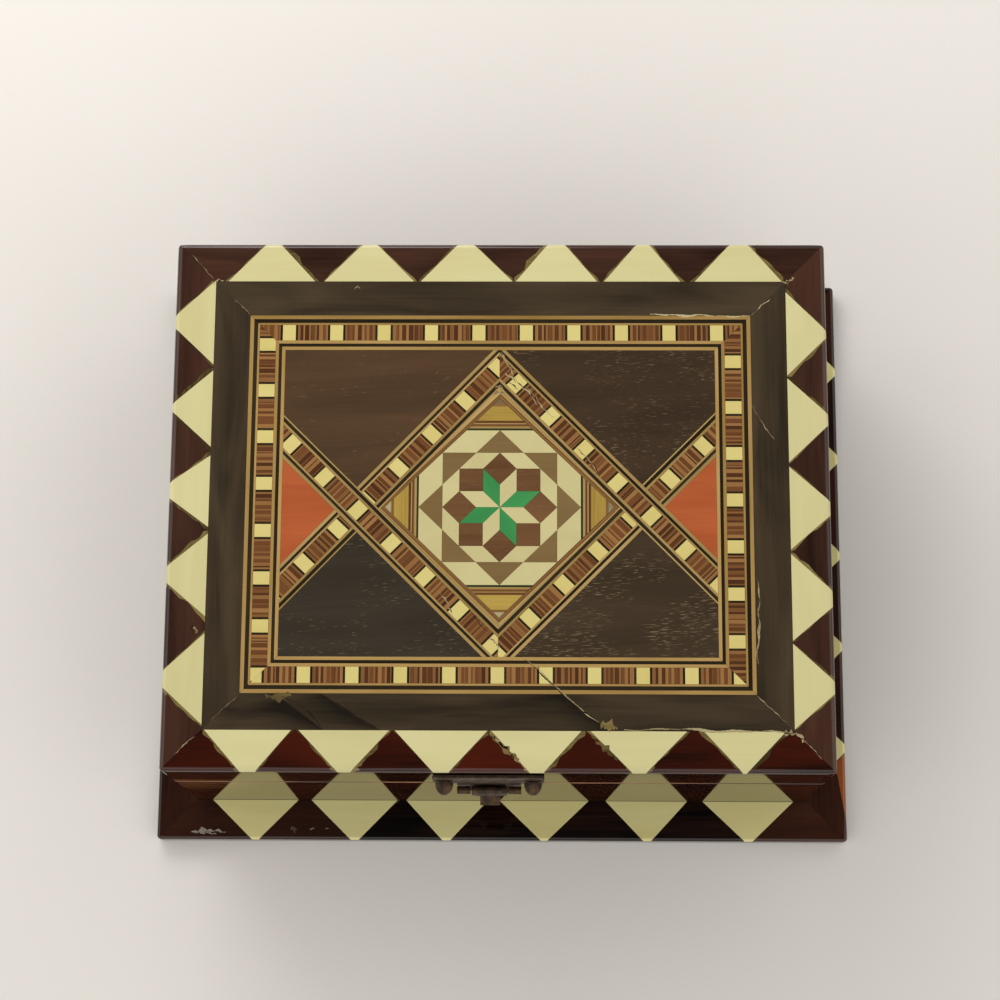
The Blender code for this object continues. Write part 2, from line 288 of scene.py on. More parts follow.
def cutBy(outline, spot, away):
    # Keeps the part of a convex outline on the side of a line that the direction away points from.
    if len(outline) < 3:
        return outline
    reach = (outline - spot) @ np.asarray(away, float)
    after = np.roll(reach, -1)
    kept = reach <= 0
    crossed = kept != (after <= 0)
    share = np.divide(reach, reach - after, out=np.zeros_like(reach), where=crossed)
    hits = outline + share[:, None] * (np.roll(outline, -1, 0) - outline)
    both = np.stack([outline, hits], 1).reshape(-1, 2)
    return both[np.stack([kept, crossed], 1).ravel()]


def drawIn(outline, joint):
    # Moves each side of a convex outline in by half the joint, and drops slivers.
    outline = np.asarray(outline, float)
    if len(outline) > 2:
        run = np.roll(outline, -1, 0) - outline
        outline = outline[np.hypot(*run.T) > clearance["sliver"]]
    after = np.roll(outline, -1, 0)
    area = np.sum(outline[:, 0] * after[:, 1] - after[:, 0] * outline[:, 1]) / 2
    if len(outline) < 3 or abs(area) < clearance["speck"]:
        return outline[:0]
    if area < 0:
        outline = outline[::-1]
    run = np.roll(outline, -1, 0) - outline
    run /= np.hypot(*run.T)[:, None]
    inward = np.c_[-run[:, 1], run[:, 0]]
    before = np.roll(inward, 1, 0)
    share = 1 + np.sum(inward * before, 1)
    return outline + joint / 2 * (inward + before) / np.maximum(share, 0.25)[:, None]


def quad(left, right, low, high):
    return np.array([(left, low), (right, low), (right, high), (left, high)], float)


# Sizes that the frame gives, in millimetres

def low(node):
    return np.array(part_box(node)[0]) / mm


def high(node):
    return np.array(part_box(node)[1]) / mm


def seam(outer, inner):  # middle of the gap between two strips of the lid front, from the centre
    return -(high(outer)[1] + low(inner)[1]) / 2


lidTop = high("lid_marquetry_panel")[2]
lidHalf = high("lid_triangle_band_right")[0], high("lid_triangle_band_back")[1]
inlayDepth = lidTop - low("lid_marquetry_panel")[2]
bandEnd = lidHalf[1] - seam("lid_triangle_band_front", "lid_border_front")
borderEnd = lidHalf[1] - seam("lid_border_front", "lid_stringing_front")
stringEnd = lidHalf[1] - seam("lid_stringing_front", "lid_marquetry_panel")
openHalf = lidHalf[0] - stringEnd, lidHalf[1] - stringEnd
flangeTop = high("base_moulding_front")[2]
flangeHalf = high("base_moulding_right")[0], high("base_moulding_back")[1]
wallFoot = high("base_moulding_front")[1]
flangeReach = flangeHalf[1] - lidHalf[1]


runSign = {"front": 1, "back": -1, "left": -1, "right": 1}  # which way each side's tables run


def turned(side, pair):  # a pair for the front, swapped for the two short sides
    return pair if side in ("front", "back") else pair[::-1]


def faceSide(side, along, out, height):
    # (along, outward, height) to (x, y, z) for one side of the case.
    along, out, height = np.broadcast_arrays(along, out, height)
    places = {"front": (along, -out), "back": (-along, out), "left": (-out, -along), "right": (out, along)}
    return np.stack([*places[side], height], -1)


def roundCorner(points, half, radius):
    # Draws points near a corner of the plan onto its arc, as a square is drawn onto a disc.
    plan = np.abs(points[..., :2]) - (np.array(half) - radius)
    inside = np.all(plan > 0, -1)
    reach = np.hypot(plan[..., 0], plan[..., 1])
    share = np.where(inside, np.max(plan, -1) / np.maximum(reach, 1e-9), 1.0)
    moved = np.sign(points[..., :2]) * (np.array(half) - radius + plan * share[..., None])
    points = points.copy()
    points[..., :2] = np.where(inside[..., None], moved, points[..., :2])
    return points


triangleBand = {
    "cornerRadius": 1.0,
    "depth": 0.5,
    "ground": 0.10,
    "hold": 0.12,  # last row of the flat part before the round, which keeps it flat
    "columns": (0.0, 0.9, 0.98, 0.985, 0.99, 0.995, 1.0),
    # How far a triangle leans, how its tip varies, and how near the inner edge glue blunts the dark
    "sway": 0.3,
    "tipSpread": (0.85, 1.15),
    "bluntReach": 0.14,
    "sink": 0.02,  # of the glue below the wood
}
# Gaps at mitres, beside creams and beside glue, the least width, and slivers that are dropped
clearance = {"mitre": 0.03, "side": 0.02, "glue": 0.01, "least": 0.05, "sliver": 0.02, "speck": 0.03}
joints = {"line": 0.04, "block": 0.03, "star": 0.035, "facing": 0.02}  # between thin veneers
skin = 0.6  # thickness of the thin veneers


def bandProfile(flat, radius, steps, rows=9):
    # Distance inward from the outer face, drop from the top, and outward lean, from the inner edge
    # over the flat and down round the edge. Travel is the distance run along the surface.
    turn = np.linspace(0, math.pi / 2, steps + 1)
    flats = np.linspace(0, flat - triangleBand["hold"], rows)
    inset = np.r_[flat + radius - flats, radius * (1 - np.sin(turn))]
    drop = np.r_[flats * 0, radius * (1 - np.cos(turn))]
    lean = np.r_[flats * 0, np.sin(turn)]
    travel = np.r_[flats, flat + radius * turn]
    return inset, drop, lean, travel


def bentPiece(inlay, side, half, top, profile, left, right, wood, columns=(0.0, 1.0), sink=0.0, tone=None):
    # A piece of veneer over the rounded edge: a grid with one row for each point of the profile and
    # columns between its left and right sides, and the same grid again, lower by the veneer's depth.
    inset, drop, lean, travel = profile
    halfOut = turned(side, half)[1]
    along = left[:, None] + np.array(columns) * (right - left)[:, None]
    grids = []
    for depth in (sink, triangleBand["depth"]):
        out = halfOut - inset - depth * lean
        height = top - drop - depth * np.sqrt(1 - lean ** 2)
        grids.append(faceSide(side, along, out[:, None], height[:, None]))
    points = roundCorner(np.stack(grids), half, triangleBand["cornerRadius"])
    rows, count = along.shape
    index = np.arange(points[..., 0].size).reshape(2, rows, count)
    grain = np.stack([along, np.broadcast_to(travel[:, None], along.shape)], -1)
    inlay.add(points.reshape(-1, 3), shellFaces(index), wood, np.stack([grain] * 2).reshape(-1, 2), tone)


def shellFaces(index):
    # Quads over the upper grid, the lower grid and the four edges between them.
    upper, lower = index
    faces = []
    for grid in (upper, lower[:, ::-1]):
        corners = (grid[:-1, :-1], grid[:-1, 1:], grid[1:, 1:], grid[1:, :-1])
        faces.append(np.stack(corners, -1).reshape(-1, 4))
    for edge in ((0, slice(None)), (-1, slice(None)), (slice(None), 0), (slice(None), -1)):
        a, b = upper[edge], lower[edge]
        faces.append(np.stack([a[:-1], a[1:], b[1:], b[:-1]], -1))
    return [tuple(face) for face in np.vstack(faces)]


def groundStrip(inlay, side, half, outline, wood="ground"):
    # Closed profile of (inset, height) carried along one side, with mitred ends.
    inset, height = np.array(outline, float).T
    halfAlong, halfOut = turned(side, half)
    end = np.array((0.987, 0.99, 0.9925, 0.995, 0.9975, 1.0))  # shares of the half length near its ends
    stations = np.r_[-end[::-1], end]
    along = stations[:, None] * (halfAlong - inset - clearance["side"])
    points = roundCorner(faceSide(side, along, halfOut - inset, height), half, triangleBand["cornerRadius"])
    rows, count = along.shape
    index = np.arange(rows * count).reshape(rows, count)
    after = np.roll(index, -1, 1)
    faces = np.stack([index[:-1], after[:-1], after[1:], index[1:]], -1).reshape(-1, 4)
    caps = [tuple(index[0]), tuple(index[-1][::-1])]
    grain = np.stack([along, np.broadcast_to(inset, along.shape)], -1).reshape(-1, 2)
    inlay.add(points.reshape(-1, 3), [tuple(face) for face in faces] + caps, wood, grain)


def smooth(count, size):
    # Smooth random run of values round 1: three sine waves with random phases.
    place = np.linspace(0, 1, count)
    phases = chance.uniform(0, 2 * math.pi, 3)
    waves = sum(np.sin(2 * math.pi * turns * place + phase)
                for turns, phase in zip((0.8, 2.1, 4.3), phases))
    return 1 + size * waves / 2


def layTriangles(inlay, side, half, top, profile, look, corners):
    # Cream pieces stand on the inner edge and narrow in plan to the tip at the outer edge. Dark
    # pieces fill between them, with uneven glue along each slanting side and over the blunt top. A
    # corner may have a wedge of another wood, beyond a straight line from the outer edge.
    inset = profile[0]
    limit = turned(side, half)[0] - inset - clearance["mitre"]
    slope = (inset[0] - inset) / inset[0]
    edges = []
    flip = runSign[side]
    for first, last, *tip in sorted(look[side], key=lambda extent: flip * extent[0]):
        middle = flip * (first + last) / 2
        wide = (last - first) / 2
        narrow = (tip[0] if tip else look["tip"] * chance.uniform(*triangleBand["tipSpread"])) / 2
        reach = wide + (narrow - wide) * slope
        sway = middle + chance.uniform(-triangleBand["sway"], triangleBand["sway"]) * slope
        edges.append((sway - reach, sway + reach))
    starts = [-limit] + [right for left, right in edges]
    ends = [left for left, right in edges] + [limit]
    gap, thin, least = (clearance[key] for key in ("side", "glue", "least"))
    glue = {"wood": look["joint"], "sink": triangleBand["sink"]}

    def lay(left, right, wood, **more):
        bentPiece(inlay, side, half, top, profile, left, right, wood, **more)

    for left, right in edges:
        lay(left + gap, right - gap, look["light"])
    last = len(starts) - 1
    for number, (start, end) in enumerate(zip(starts, ends)):
        room = (end - start) / 2 - least
        blunt = look["blunt"] * chance.uniform(0, 1) * np.exp(-(slope / triangleBand["bluntReach"]) ** 2)
        threads = []
        for _ in range(2):
            thread = chance.uniform(*look["glue"]) * smooth(len(slope), 0.8).clip(0.15) + blunt
            threads.append(np.minimum(thread, room))
        left = start if number == 0 else start + threads[0]
        right = end if number == last else end - threads[1]
        if number:
            lay(start + thin, left - thin, **glue)
        if number < last:
            lay(right + thin, end - thin, **glue)
        columns = (0.0, 1.0)
        if number == 0:
            columns = tuple(1 - share for share in triangleBand["columns"][::-1])
        elif number == last:
            columns = triangleBand["columns"]
        if (side, number) in corners:
            wood, outer, rise = corners[side, number]
            edge = np.minimum(np.maximum(rise * inset - outer, left + least), right - least)
            lay(edge + thin, right, wood)
            right = edge
        tone = look["tones"][side][number] if side in look["tones"] else None
        lay(left, right, look["dark"][side], columns=columns, tone=tone)


# Triangle bands of the lid: each triangle from, to and, where it is not the usual, its tip's width

lidBand = {
    "edgeRadius": 1.2,
    "tip": 3.4,
    "light": "creamWood",
    "dark": dict.fromkeys(sides, "brownWood") | {"front": "roseWood"},
    "joint": "glueLine",
    "glue": (0.15, 0.85),
    "blunt": 1.4,
    # How light each dark piece of a side is, from its start to its end
    "tones": {"front": (-0.2, 0.3, -0.1, 0.5, 0.2, -0.3, -0.2), "left": (0.4, 0.1, 0.3, -0.3, -0.1, 0.2),
              "back": (-0.2, -0.5, 0.2, -0.1, 0.3, -0.2, 0.3)},
    "front": ((-65.2, -45.8), (-44.2, -24.0), (-22.8, -2.2), (-1.4, 18.6), (20.6, 42.0, 3.0),
              (45.7, 63.8, 0.8)),
    "back": ((-62.9, -42.8), (-40.7, -19.9), (-18.4, 2.9), (3.6, 22.4), (24.0, 41.6, 2.6),
             (44.9, 65.0, 3.8)),
    "left": ((32.1, 52.4, 2.8), (12.6, 30.7, 1.6), (-6.1, 10.6), (-26.6, -7.6), (-51.0, -30.4)),
    "right": ((29.6, 49.6, 1.6), (9.2, 29.0, 2.4), (-11.0, 8.2), (-31.8, -12.0), (-51.6, -32.4, 2.6)),
}


def edgeBand(name, side, body, half, top, floor, foot, look, profile, nodes, corners):
    # One side's strip: ground below, triangles above.
    inlay = Inlay(name)
    inset, drop, lean = profile[:3]
    depth = triangleBand["ground"]
    outline = [(foot, floor), (0.0, floor), (0.0, top - look["edgeRadius"])]
    upper = [(at + depth * slant, top - fall - depth * math.sqrt(1 - slant ** 2))
             for at, fall, slant in zip(inset, drop, lean)]
    outline += upper[::-1]
    if foot > inset[0]:
        outline += [(foot, upper[0][1])]
    groundStrip(inlay, side, half, outline)
    layTriangles(inlay, side, half, top, profile, look, corners)
    return inlay.build(body, "triangle_inlay", *nodes)


def buildLidBands():
    profile = bandProfile(bandEnd - lidBand["edgeRadius"] - 0.03, lidBand["edgeRadius"], 7)
    floor = lidTop - inlayDepth
    for side in sides:
        edgeBand(f"lid_triangles_{side}", side, "lid", lidHalf, lidTop, floor, bandEnd - 0.03,
                 lidBand, profile, [f"lid_triangle_band_{side}"], {})
    print("lid triangle bands laid")


flangeBand = {
    "edgeRadius": 0.8,
    "tip": 1.9,
    # Its cream is painted lighter to make up for the shade on the flange.
    "light": "footCream",
    "dark": dict.fromkeys(sides, "footDark"),
    "joint": "footGlue",
    "glue": (0.05, 0.16),
    "blunt": 0.5,
    # Tones vary piece by piece; on the right side they are all raised, as painted light against the shade
    # beside the wall.
    "tones": {"front": (0.3, 0.0, -0.8, -0.8, -0.8, -0.6, 0.7), "left": (0.4, -0.2, -0.4, 0.2, -0.3, 0.3),
              "right": (0.5, 0.3, 0.1, 0.4, 0.0, 0.2)},
    "front": ((-71.1, -50.0), (-46.8, -25.6), (-23.4, -3.4), (-0.4, 21.4), (25.6, 45.6), (49.4, 71.6)),
    "back": ((-70.0, -49.2), (-46.0, -25.2), (-22.6, -1.8), (1.4, 22.2), (25.0, 45.8), (49.0, 70.0)),
    "left": ((-59.0, -38.0), (-34.2, -13.4), (-10.6, 10.6), (13.4, 34.4), (37.6, 58.8)),
    "right": ((-58.6, -38.0), (-33.4, -12.6), (-10.0, 11.2), (14.6, 35.8), (37.8, 58.8)),
}


def buildFlange():
    profile = bandProfile(flangeReach - flangeBand["edgeRadius"] - 0.05, flangeBand["edgeRadius"], 4)
    foot = flangeHalf[1] + wallFoot
    for side in sides:
        edgeBand(f"foot_triangles_{side}", side, "case", flangeHalf, flangeTop, 0.0, foot,
                 flangeBand, profile, [f"base_moulding_{side}"], {("right", 0): ("amberWood", 67.0, 6.0)})
    print("foot flange laid")


# Dark border

def frameBoard(side, half, outer, inner):
    # Mitred board in plan, as an outline.
    halfAlong, halfOut = turned(side, half)
    along = np.array([-(halfAlong - outer), halfAlong - outer, halfAlong - inner, -(halfAlong - inner)])
    out = np.array([halfOut - outer, halfOut - outer, halfOut - inner, halfOut - inner])
    return faceSide(side, along, out, 0.0)[:, :2]


border = {
    "tone": {"front": 0.0, "back": 0.35, "left": 0.3, "right": 0.15},
    # Breaks through the front board, and how far beside each the wood darkens, in how many steps
    "breaks": (((-49.6, -44.0), (-38.8, -51.9)), ((-39.2, -44.0), (-26.2, -51.9)),
               ((14.6, -44.0), (24.6, -51.9))),
    "shadow": 6.5,
    "steps": 9,
}


def buildBorder():
    # A board is one piece, or slices parallel to each break that darken by a square law towards it.
    for number, side in enumerate(sides):
        inlay = Inlay(f"lid_border_veneer_{side}")
        grain = turned(side, (0, 90))[0]
        shift = np.array((57.0, 31.0)) * number
        outline = frameBoard(side, lidHalf, bandEnd + 0.025, borderEnd - 0.025)
        tone = border["tone"][side]

        def lay(part, shade):
            inlay.veneer(part, "borderWood", lidTop, inlayDepth, grain, 0.0, shade, shift)

        for start, end in border["breaks"] if side == "front" else ():
            start, run = np.array(start), np.subtract(end, start)
            ahead = np.array([-run[1], run[0]]) / np.hypot(*run)
            offsets = np.linspace(border["shadow"], 0.0, border["steps"] + 1)
            lay(cutBy(outline, start - ahead * offsets[0], ahead), tone)
            for far, near in zip(offsets, offsets[1:]):
                part = cutBy(cutBy(outline, start - ahead * near, ahead), start - ahead * far, -ahead)
                lay(part, tone - (1 - near / border["shadow"]) ** 2)
            outline = cutBy(outline, start, -ahead)
        lay(outline, tone)
        inlay.build("lid", "dark_border", f"lid_border_{side}")
    print("border laid")


# Striped stringing

def layGround(inlay, board, grain):
    # Dark board that fills the depth below the thin veneers.
    drop = triangleBand["ground"]
    inlay.veneer(board, "ground", lidTop - drop, inlayDepth - drop, grain, joints["line"])


stringing = {
    "shares": (0.9, 0.87, 0.5, 3.65, 0.75, 0.7, 0.8),  # line, dark line, line, mosaic and lines again
    "cream": 3.0,
    "black": 0.5,
    # Middle of a cream block and the distance to the next
    "repeat": {"front": (-54.2, 10.82), "back": (-48.5, 10.92), "left": (36.9, 10.94),
               "right": (32.9, 10.82)},
}
lineWoods = ("stringYellow", "lineDark", "stringYellow", None, "stringYellow", "lineDark", "stringYellow")
bandWoods = ("bandYellow", "lineDark", "bandYellow", None, "bandYellow", "lineDark", "bandYellow")


def mosaicRun(start, end, phase, period):
    # Stretches along a mosaic strip as (from, to, wood): a cream block, a black line, a block of
    # stripes of uneven width and another black line, over and over.
    cream, black = stringing["cream"], stringing["black"]
    stretches = []
    place = phase - period * math.ceil((phase - start) / period + 1)
    while place < end + period:
        stretches.append((place - cream / 2, place + cream / 2, "mosaicCream"))
        first = place + cream / 2
        last = place + period - cream / 2
        stretches.append((first, first + black, "lineDark"))
        stretches.append((last - black, last, "lineDark"))
        widths = chance.uniform(0.25, 1.3, 11)
        cuts = np.r_[0, np.cumsum(widths)] / widths.sum() * (last - first - 2 * black) + first + black
        for number, (here, there) in enumerate(zip(cuts, cuts[1:])):
            stretches.append((here, there, "stripeTan" if number % 2 == 0 else "stripeBrown"))
        place += period
    return [item for item in stretches if item[1] > start and item[0] < end]


def buildStringing():
    shares = np.array(stringing["shares"])
    cuts = np.r_[0, np.cumsum(shares)] / shares.sum() * (stringEnd - borderEnd) + borderEnd
    for side in sides:
        inlay = Inlay(f"lid_stringing_lines_{side}")
        grain = turned(side, (0, 90))[0]
        board = frameBoard(side, lidHalf, borderEnd, stringEnd)
        layGround(inlay, board, grain)
        for wood, outer, inner in zip(lineWoods, cuts, cuts[1:]):
            strip = frameBoard(side, lidHalf, outer, inner)
            if wood:
                inlay.veneer(strip, wood, lidTop, skin, grain, joints["line"])
                continue
            axis = turned(side, (0, 1))[0]
            reach = np.abs(strip[:, axis]).max()
            flip = runSign[side]
            ahead = np.eye(2)[axis] * flip
            place, period = stringing["repeat"][side]
            for first, last, block in mosaicRun(-reach, reach, flip * place, period):
                outline = cutBy(cutBy(strip, ahead * last, ahead), ahead * first, -ahead)
                inlay.veneer(outline, block, lidTop, skin, 90 - grain, joints["block"])
        inlay.build("lid", "stringing", f"lid_stringing_{side}")
    print("stringing laid")


# Central panel

panel = {
    "halfBand": 3.65,
    "fieldGrain": 3,  # degrees
    "beyond": 12.0,  # how far a band is laid out past both ends before it is cut
    "bandShares": (0.75, 0.6, 0.45, 3.8, 0.6, 0.75, 0.35),  # from outside the diamond inwards
    "period": 10.87,
    # Middle line of each band from its vertex to the side, and where its cream blocks start
    "upperLeft": {"from": (1.2, 33.1), "to": (-49.0, -19.7), "phase": (2.3, 0.25), "under": "lowerLeft"},
    "upperRight": {"from": (-1.0, 32.8), "to": (49.5, -18.6), "phase": (7.2,), "under": None},
    "lowerLeft": {"from": (0.35, -34.35), "to": (-49.2, 15.0), "phase": (2.2,), "under": None},
    "lowerRight": {"from": (-0.1, -34.2), "to": (49.7, 16.2), "phase": (10.3, 1.05), "under": "upperRight"},
}
bandNames = ("upperLeft", "upperRight", "lowerLeft", "lowerRight")
medallion = {"centre": (0.2, -1.35), "side": 5.2, "stretch": (1.035, 1.01)}


def bandLine(name):
    # Start, direction along the band and direction away from the diamond's middle.
    start, end = np.array(panel[name]["from"]), np.array(panel[name]["to"])
    along = (end - start) / np.hypot(*(end - start))
    away = np.array([along[1], -along[0]])
    if (start - medallion["centre"]) @ away < 0:
        away = -away
    return start, along, away


def layFields(inlay):
    # Fields between the bands: the opening cut by the bands' edges.
    opening = quad(-openHalf[0], openHalf[0], -openHalf[1], openHalf[1])
    fields = (
        ("upperLeft", "lowerLeft", 1, -1, "fieldBrown"),
        ("upperRight", "lowerRight", 1, -1, "fieldDark"),
        ("lowerLeft", "upperLeft", 1, -1, "fieldBlack"),
        ("lowerRight", "upperRight", 1, -1, "fieldStriped"),
        ("upperLeft", "lowerLeft", 1, 1, "orangeWood"),
        ("upperRight", "lowerRight", 1, 1, "orangeWood"),
    )
    for one, other, first, second, wood in fields:
        outline = opening
        for name, sign in ((one, first), (other, second)):
            start, _, away = bandLine(name)
            outline = cutBy(outline, start + sign * away * panel["halfBand"], -sign * away)
        inlay.veneer(outline, wood, lidTop, skin, panel["fieldGrain"], joints["line"])


def layBand(inlay, name):
    # One diamond band: seven strips across, the middle one cut into blocks, ended by the mitre at
    # the vertex, by the edge of the opening and by the band that passes over it.
    start, along, away = bandLine(name)
    look = panel[name]
    hand = -1 if "Left" in name else 1
    beyond = panel["beyond"]
    length = np.hypot(*(np.array(look["to"]) - start)) + beyond
    shares = np.array(panel["bandShares"])
    cuts = panel["halfBand"] - np.r_[0, np.cumsum(shares)] / shares.sum() * 2 * panel["halfBand"]
    limits = [((0.0, 0.0), (-hand, 0.0))]
    for axis, reach in enumerate(openHalf):
        for sign in (-1, 1):
            edge = np.eye(2)[axis] * sign
            limits.append((edge * reach, edge))
    stretches = [limits]
    if look["under"]:
        overStart, _, overAway = bandLine(look["under"])
        near = overStart - overAway * panel["halfBand"]
        far = overStart + overAway * panel["halfBand"]
        stretches = [limits + [(near, overAway)], limits + [(far, -overAway)]]
    angle = math.degrees(math.atan2(along[1], along[0]))
    for stretch, phase in zip(stretches, look["phase"]):
        for wood, outer, inner in zip(bandWoods, cuts, cuts[1:]):
            run = [(-beyond, length, wood)]
            if wood is None:
                run = mosaicRun(-beyond, length, phase, panel["period"])
            for first, last, block in run:
                corners = np.array([(first, outer), (last, outer), (last, inner), (first, inner)])
                outline = start + corners[:, :1] * along + corners[:, 1:] * away
                for spot, side in stretch:
                    outline = cutBy(outline, np.array(spot), np.array(side))
                inlay.veneer(outline, block, lidTop, skin, angle + (0 if wood else 90), joints["block"])


def layMedallion(inlay):
    # Eight-pointed star from unit steps e(k) at 45 degrees: every corner is a sum of such steps.
    centre = np.array(medallion["centre"])
    side = medallion["side"]

    def corner(*steps):
        turn = np.radians(45 * np.array(steps))
        return centre + side * np.array([np.cos(turn).sum(), np.sin(turn).sum()])

    def apex(k):
        turn = math.radians(45 * k)
        return centre + side * (2 + math.sqrt(2)) * np.array([math.cos(turn), math.sin(turn)])

    for k in range(8):
        lean = 45 * k + 22.5
        notch = corner(k - 1, k, k + 1, k + 2)
        spike, valley, dent = corner(k, k + 1), corner(k - 1, k, k + 1), corner(k, k + 1, k + 2)
        star = "greenWood" if k % 2 == 0 else "medalCream"
        pieces = (
            ((centre, corner(k), spike, corner(k + 1)), star, lean),
            ((corner(k), spike, valley, corner(k - 1, k)), "squareBrown", 0),
            ((spike, valley, notch, dent), "medalCream", lean),
            ((corner(k - 2, k - 1, k, k + 1), notch, apex(k)), "medalBrown", 0),
            ((notch, apex(k), apex(k) + apex(k + 1) - notch, apex(k + 1)), "medalCream", lean),
        )
        for outline, wood, angle in pieces:
            outline = centre + (np.array(outline) - centre) * medallion["stretch"]
            inlay.veneer(outline, wood, lidTop, skin, angle, joints["star"])


surround = {
    # Beyond each flat side of the medallion, outward: (thickness, wood)
    "layers": ((0.45, "lineGreen"), (0.5, "bandYellow"), (0.2, "facing"), (0.3, "stripeBrown"),
               (0.3, "bandYellow"), (0.5, "stripeBrown"), (3.4, "satinWood"), (0.5, "facing"),
               (4.0, "putty")),
    "facing": ((0.12, "glueLine"), (0.55, "facing"), (0.15, "stripeBrown"), (1.8, "bandYellow")),
}


def laySurround(inlay):
    # Between the medallion and the bands, in each quarter: layers parallel to the medallion's flat
    # side, and thin facings parallel to its slanting side, which meet on the diamond's axes.
    centre = np.array(medallion["centre"])
    reach = medallion["side"] * (2 + math.sqrt(2))
    inside = [(start - away * panel["halfBand"], away) for start, _, away in map(bandLine, bandNames)]

    def wider(ahead):  # direction and distance of a side once the medallion is stretched
        lean = ahead / np.hypot(*ahead) / medallion["stretch"]
        return lean / np.hypot(*lean), reach / np.hypot(*lean)

    for quarter in range(4):
        turn = math.radians(90 * quarter)
        out = np.array([math.cos(turn), math.sin(turn)])
        across = np.array([-out[1], out[0]])
        slants = [wider(out + sign * across) for sign in (-1, 1)]
        sets = (
            ("layers", wider(out), inside + [(centre + slant * place, slant) for slant, place in slants]),
            ("facing", slants[1], inside + [(centre, -out), (centre, -across)]),
        )
        for name, (ahead, place), limits in sets:
            aside = np.array([-ahead[1], ahead[0]]) * 30
            angle = math.degrees(math.atan2(aside[1], aside[0]))
            for thickness, wood in surround[name]:
                near, far = centre + ahead * place, centre + ahead * (place + thickness)
                outline = np.array([near - aside, far - aside, far + aside, near + aside])
                for spot, side in limits:
                    outline = cutBy(outline, spot, side)
                inlay.veneer(outline, wood, lidTop, skin, angle, joints["facing"])
                place += thickness


def buildPanel():
    inlay = Inlay("lid_marquetry")
    layGround(inlay, quad(-openHalf[0], openHalf[0], -openHalf[1], openHalf[1]), 0)
    layFields(inlay)
    for name in bandNames:
        layBand(inlay, name)
    layMedallion(inlay)
    laySurround(inlay)
    inlay.build("lid", "marquetry", "lid_marquetry_panel")
    print("marquetry panel laid")


# Wear of the lid and the flange

def ribbonPiece(inlay, path, width, wood, level):
    # Thin uneven streak on the surface: a path through the given points, wandering a little, with a
    # width that swells and shrinks by smooth waves and closes at both ends.
    path = np.array(path, float)
    length = np.r_[0, np.cumsum(np.hypot(*np.diff(path, axis=0).T))]
    count = max(int(length[-1] / 0.35), 6)
    place = np.linspace(0, length[-1], count)
    middle = np.stack([np.interp(place, length, path[:, axis]) for axis in (0, 1)], -1)
    along = np.gradient(middle, axis=0)
    along /= np.hypot(*along.T)[:, None]
    aside = np.stack([-along[:, 1], along[:, 0]], -1)
    ends = np.sin(math.pi * np.linspace(0.03, 0.97, count)) ** 0.5
    half = width / 2 * ends * np.clip(smooth(count, 0.9) + chance.uniform(-0.35, 0.35, count), 0.2, None)
    drift = (smooth(count, 0.9) - 1 + chance.uniform(-0.15, 0.15, count)) * min(width, 0.3)
    middle = middle + aside * drift[:, None]
    flat = np.stack([middle - aside * half[:, None], middle + aside * half[:, None]], 1)
    levels = np.array([level + 0.004, level - 0.05])
    points = np.concatenate([np.broadcast_to(flat, (2, *flat.shape)),
                             np.broadcast_to(levels[:, None, None, None], (2, count, 2, 1))], -1)
    index = np.arange(4 * count).reshape(2, count, 2)
    inlay.add(points.reshape(-1, 3), shellFaces(index), wood, points[..., :2].reshape(-1, 2))


